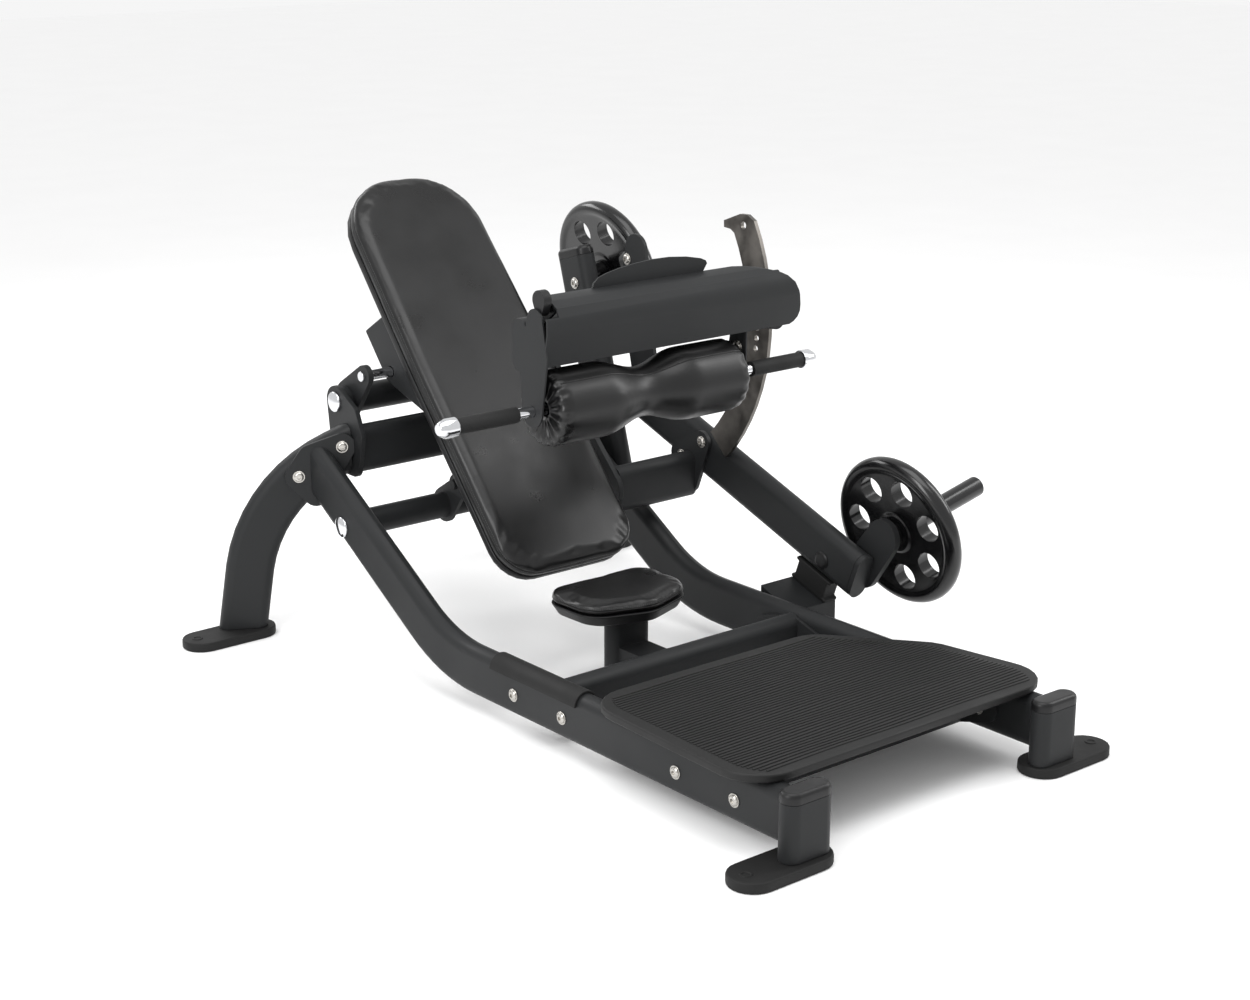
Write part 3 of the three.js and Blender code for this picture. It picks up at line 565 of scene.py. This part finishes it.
# Floor bolt places
# Near its outer end each foot has a raised lip round the place of its floor bolt; the foot isn't pierced
anchor = {"fromTip": 0.034, "lip": 0.013, "hole": 0.0075, "height": 0.0016}
for node in ("left_front_foot", "right_front_foot", "left_rear_foot", "right_rear_foot"):
    centre = middle(node)
    low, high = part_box(node)
    outerSide = 1 if centre.x > machine(0, 0, 0).x else -1
    corners = [v.co for v in frame["nodes"][node].data.vertices if (v.co.x - centre.x) * outerSide > 0]
    tip = max(corners, key=lambda co: math.hypot(co.x - centre.x, co.y - centre.y))
    inward = Vector((centre.x - tip.x, centre.y - tip.y, 0)).normalized()
    place = Vector((tip.x, tip.y, high.z)) + inward * anchor["fromTip"]
    lip = turnedPiece(node + "_lip", [
        (anchor["hole"], 0.0), (anchor["lip"], 0.0), (anchor["lip"] - 0.001, anchor["height"]),
        (anchor["hole"] + 0.0012, anchor["height"]), (anchor["hole"], anchor["height"] - 0.0012),
        (anchor["hole"], 0.0)], 32)
    pick(lip)
    bpy.ops.object.shade_smooth_by_angle(angle=math.radians(40))
    moveTo(lip, place, (0, 0, 1))
    finish(lip, "base", rubber)
print("foot lips moulded")

# Padded pieces
padding = {"frames": 20, "quality": 4}


def puffed(piece, cap, held, voxel, pressure):
    # Voxel remesh, a short cloth run under pressure, then the movement is capped and the mesh subdivided
    modify(piece, "REMESH", mode="VOXEL", voxel_size=voxel)
    rest = [v.co.copy() for v in piece.data.vertices]
    group = piece.vertex_groups.new(name="held")
    group.add([v.index for v in piece.data.vertices if held(v.co)], 1.0, "REPLACE")
    cloth = piece.modifiers.new("padding", "CLOTH")
    cloth.settings.use_pressure = True
    cloth.settings.uniform_pressure_force = pressure
    cloth.settings.effector_weights.gravity = 0
    cloth.settings.vertex_group_mass = "held"
    cloth.settings.quality = padding["quality"]
    cloth.collision_settings.use_collision = False
    cloth.point_cache.frame_end = padding["frames"]
    for step in range(1, padding["frames"] + 1):
        bpy.context.scene.frame_set(step)
    pick(piece)
    bpy.ops.object.modifier_apply(modifier=cloth.name)
    bpy.context.scene.frame_set(1)
    for vertex, start in zip(piece.data.vertices, rest):
        move = vertex.co - start
        if move.length > cap:
            vertex.co = start + move.normalized() * cap
    piece.vertex_groups.clear()
    modify(piece, "SMOOTH", factor=0.5, iterations=3)
    modify(piece, "SUBSURF", levels=1, render_levels=1)
    pick(piece)
    bpy.ops.object.shade_smooth()
    return piece


def seamAlong(name, loop, surface, radius, closed=True):
    # A piped seam: the line is laid on the surface, then given a round section
    deselectAll()
    bpy.ops.mesh.primitive_circle_add(vertices=len(loop), radius=1)
    path = bpy.context.object
    path.name = name
    for vertex, place in zip(path.data.vertices, loop):
        vertex.co = place
    pick(path)
    if not closed:
        bpy.ops.object.mode_set(mode="EDIT")
        bpy.ops.mesh.select_all(action="DESELECT")
        bpy.ops.object.mode_set(mode="OBJECT")
        for edge in path.data.edges:
            edge.select = set(edge.vertices) == {0, len(loop) - 1}
        bpy.ops.object.mode_set(mode="EDIT")
        bpy.ops.mesh.select_mode(type="EDGE")
        bpy.ops.mesh.delete(type="EDGE")
        bpy.ops.mesh.select_mode(type="VERT")
        bpy.ops.object.mode_set(mode="OBJECT")
    modify(path, "SHRINKWRAP", target=surface, wrap_method="NEAREST_SURFACEPOINT")
    bpy.ops.object.convert(target="CURVE")
    path = bpy.context.object
    path.data.bevel_depth = radius
    path.data.bevel_resolution = 2
    path.data.use_fill_caps = True
    pick(path)
    bpy.ops.object.convert(target="MESH")
    path = bpy.context.object
    bpy.ops.object.shade_smooth()
    return path


def stitchesAlong(name, loop, surface, spacing, length, radius):
    # Short stitches laid end to end on a surface, joined into one piece
    deselectAll()
    bpy.ops.mesh.primitive_circle_add(vertices=len(loop), radius=1)
    path = bpy.context.object
    for vertex, place in zip(path.data.vertices, loop):
        vertex.co = place
    modify(path, "SHRINKWRAP", target=surface, wrap_method="NEAREST_SURFACEPOINT", offset=radius * 0.3)
    spots = evenly([v.co.copy() for v in path.data.vertices], spacing)
    bpy.data.objects.remove(path)
    deselectAll()
    bpy.ops.mesh.primitive_uv_sphere_add(segments=6, ring_count=4, radius=1)
    master = bpy.context.object
    master.rotation_euler = (0, math.pi / 2, 0)
    settle(master)
    master.data.transform(Matrix.Diagonal((length / 2, radius, radius, 1)))
    stitches = []
    for index, spot in enumerate(spots):
        ahead = spots[(index + 1) % len(spots)]
        piece = duplicate(master, "stitch")
        moveTo(piece, spot, (ahead - spot).normalized())
        stitches.append(piece)
    bpy.data.objects.remove(master)
    whole = joined(name, stitches)
    pick(whole)
    bpy.ops.object.shade_smooth()
    return whole


# Back pad: it lies on its own slope, across, up the slope, and out of its face
backPad = {"slope": 41.05, "lineY": 876, "bottom": 245, "width": 388, "length": 1073, "thickness": 45,
           "corner": 92, "crown": 158, "crownIn": 8, "straightTo": 560,
           "edge": 0.016, "voxel": 0.007, "pressure": 1.5, "cap": 0.004,
           "seamDepth": 0.021, "backSeamDepth": 0.040, "seamRadius": 0.0012}
slope = math.radians(backPad["slope"])
upSlope = Vector((0, math.sin(slope), math.cos(slope)))
outward = Vector((0, -math.cos(slope), math.sin(slope)))
padStart = machine(0, backPad["lineY"] + math.tan(slope) * backPad["bottom"], backPad["bottom"])


def onSlope(a, b, c):
    return padStart + Vector((1, 0, 0)) * a + upSlope * b + outward * c


def outOfFace(place):
    return (place - padStart).dot(outward)


def backOutline(inset):
    # Discs at the bottom corners, at the crown, and where the straight sides end
    half, length = backPad["width"] / 2 - inset, backPad["length"]
    corner, crown = backPad["corner"] - inset, backPad["crown"] - inset
    side, crownSide = half - corner, half - backPad["crownIn"] - crown
    low, high, straight = corner + inset, length - crown - inset, backPad["straightTo"]
    return hull([(-side, low, corner), (side, low, corner),
                 (-crownSide, high, crown), (crownSide, high, crown),
                 (-side, straight, corner), (side, straight, corner)], 96)


padAxes = Matrix((Vector((1, 0, 0)), upSlope, outward)).transposed().to_4x4()
cushion = extruded("back_pad_cushion", backOutline(3), -backPad["thickness"] / 1000, -0.003,
                   Matrix.Translation(padStart) @ padAxes)
modify(cushion, "BEVEL", width=backPad["edge"], segments=6, limit_method="ANGLE",
       angle_limit=math.radians(50))
puffed(cushion, backPad["cap"], lambda co: outOfFace(co) < -0.034, backPad["voxel"], backPad["pressure"])
finish(cushion, "carriage", vinyl, ["back_pad"])
for name, depth in (("front", backPad["seamDepth"]), ("rear", backPad["backSeamDepth"])):
    seamLoop = evenly([onSlope(a, b, -depth) for a, b in backOutline(0)], 0.008)
    seam = seamAlong(f"back_pad_{name}_seam", seamLoop, cushion, backPad["seamRadius"])
    finish(seam, "carriage", vinyl)
stitchLoop = evenly([onSlope(a, b, -backPad["seamDepth"] + 0.0055) for a, b in backOutline(0)], 0.008)
stitches = stitchesAlong("back_pad_stitches", stitchLoop, cushion, 0.0052, 0.0034, 0.0005)
finish(stitches, "carriage", threadAndPaintedHighlight)
print("back pad upholstered")

# Seat: a moulded pan with slanted sides, and a flat-topped cushion over it with two rows of stitches
seat = {"panTop": 0.026, "panTaper": 0.90, "edge": 0.011, "voxel": 0.005, "pressure": 1.4, "cap": 0.004,
        "seamHeight": 0.036, "stitchRows": (0.0425, 0.0465)}
seatLow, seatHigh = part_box("seat_pad")
seatMiddle = (seatLow + seatHigh) / 2
seatDiscs = [(-4, 906, 78), (-80, 926, 72), (72, 926, 72), (-98, 990, 56), (90, 990, 56)]


def seatOutline(grow):
    corner = machine(0, 0, 0)
    return [(corner.x + a, corner.y + b) for a, b in hull([(x, y, r + grow) for x, y, r in seatDiscs], 64)]


pan = extruded("seat_pan", seatOutline(0), seatLow.z, seatLow.z + seat["panTop"])
for vertex in pan.data.vertices:
    if vertex.co.z < seatLow.z + 0.001:
        vertex.co.x = seatMiddle.x + (vertex.co.x - seatMiddle.x) * seat["panTaper"]
        vertex.co.y = seatMiddle.y + (vertex.co.y - seatMiddle.y) * seat["panTaper"]
softEdges(pan, 0.004, 3)
finish(pan, "base", mouldedAbs)
cushion = extruded("seat_cushion", seatOutline(-3), seatLow.z + seat["panTop"], seatHigh.z - 0.003)
modify(cushion, "BEVEL", width=seat["edge"], segments=5, limit_method="ANGLE",
       angle_limit=math.radians(50))
puffed(cushion, seat["cap"], lambda co: co.z < seatLow.z + seat["panTop"] + 0.006,
       seat["voxel"], seat["pressure"])
finish(cushion, "base", vinyl, ["seat_pad"])
seamLoop = evenly([Vector((x, y, seatLow.z + seat["seamHeight"])) for x, y in seatOutline(0)], 0.006)
seam = seamAlong("seat_seam", seamLoop, cushion, 0.0013)
finish(seam, "base", vinyl)
for row, height in enumerate(seat["stitchRows"]):
    stitchLoop = evenly([Vector((x, y, seatLow.z + height)) for x, y in seatOutline(0)], 0.006)
    stitches = stitchesAlong(f"seat_stitches_{row}", stitchLoop, cushion, 0.005, 0.0033, 0.0006)
    finish(stitches, "base", threadAndPaintedHighlight)
print("seat upholstered")

# Roller pad: two drums of foam with a waist between them, the vinyl drawn in round the axle at each end
rollerPad = {"lobe": 0.0815, "waist": 0.055, "half": 0.266, "hub": 0.030, "lobeFrom": 0.50, "rim": 0.020,
             "voxel": 0.006, "pressure": 1.5, "cap": 0.003, "seamTilt": 52, "seamInset": 0.016}
# The pleats start at this radius and fade out on the end face and over the shoulder
pleats = {"count": 19, "depth": 0.0042, "from": 0.022, "span": 0.055, "face": 0.012, "reach": 0.036,
          "shoulder": 0.008, "shoulderSpan": 0.022}
rollerMiddle = middle("roller_pad")


def rollerRadius(t):
    ease = min(1.0, abs(t) / rollerPad["lobeFrom"])
    return rollerPad["waist"] + (rollerPad["lobe"] - rollerPad["waist"]) * (1 - math.cos(ease * math.pi)) / 2


half, rim = rollerPad["half"], rollerPad["rim"]
barrel = [(rollerRadius(k / 40), k / 40 * (half - rim)) for k in range(41)]
shoulder = [(rollerPad["lobe"] - rim + rim * math.cos(angle), half - rim + rim * math.sin(angle))
            for angle in [math.radians(15 * k) for k in range(1, 7)]]
rightHalf = barrel + shoulder + [(rollerPad["hub"], half - 0.003), (0.0145, half - 0.012)]
profile = [(radius, -x) for radius, x in reversed(rightHalf[1:])] + rightHalf
roller = turnedPiece("roller_pad_vinyl", profile + [(0.0145, -half + 0.012)], 96)
moveTo(roller, rollerMiddle)
puffed(roller, rollerPad["cap"], lambda co: math.hypot(co.y - rollerMiddle.y, co.z - rollerMiddle.z) < 0.034,
       rollerPad["voxel"], rollerPad["pressure"])
for vertex in roller.data.vertices:
    out = Vector((0, vertex.co.y - rollerMiddle.y, vertex.co.z - rollerMiddle.z))
    side = 1 if vertex.co.x > rollerMiddle.x else -1
    inFromEnd = half - abs(vertex.co.x - rollerMiddle.x)
    if out.length < pleats["from"] or inFromEnd > pleats["reach"]:
        continue
    # The pleats wander a little round the axle and differ in depth
    angle = math.atan2(out.z, out.y)
    wander = 1.1 * math.sin(angle * 3 + side)
    pleat = math.sin(angle * pleats["count"] + wander) + 0.4 * math.sin(angle * 8 + 2)
    faceFade = 0
    if inFromEnd < pleats["face"]:
        faceFade = math.sin(min(1, (out.length - pleats["from"]) / pleats["span"]) * math.pi)
    shoulderFade = max(0.0, 1 - abs(inFromEnd - pleats["shoulder"]) / pleats["shoulderSpan"])
    vertex.co.x += side * pleats["depth"] * (pleat - 1.2) * 0.6 * faceFade
    vertex.co -= out.normalized() * pleats["depth"] * (1 - pleat) * 0.35 * shoulderFade
finish(roller, "roller", vinyl, ["roller_pad"])
# The drum's panels meet along its length in two topstitched seams; the seams are laid here, their stitches
# are not
for index, tilt in enumerate((rollerPad["seamTilt"], rollerPad["seamTilt"] + 180)):
    turn = math.radians(tilt)
    line = []
    for k in range(-40, 41):
        radius = rollerRadius(k / 40)
        along = (half - rollerPad["seamInset"]) * k / 40
        line.append(rollerMiddle + Vector((along, -radius * math.cos(turn), radius * math.sin(turn))))
    seam = seamAlong(f"roller_seam_{index}", line, roller, 0.0018, closed=False)
    finish(seam, "roller", vinyl)
print("roller pad upholstered")

# Floor
deselectAll()
bpy.ops.mesh.primitive_plane_add(size=40, location=(0, 0, 0))
floor = bpy.context.object
floor.name = "studio_floor"
settle(floor)
floor.data.materials.append(paper)

deselectAll()
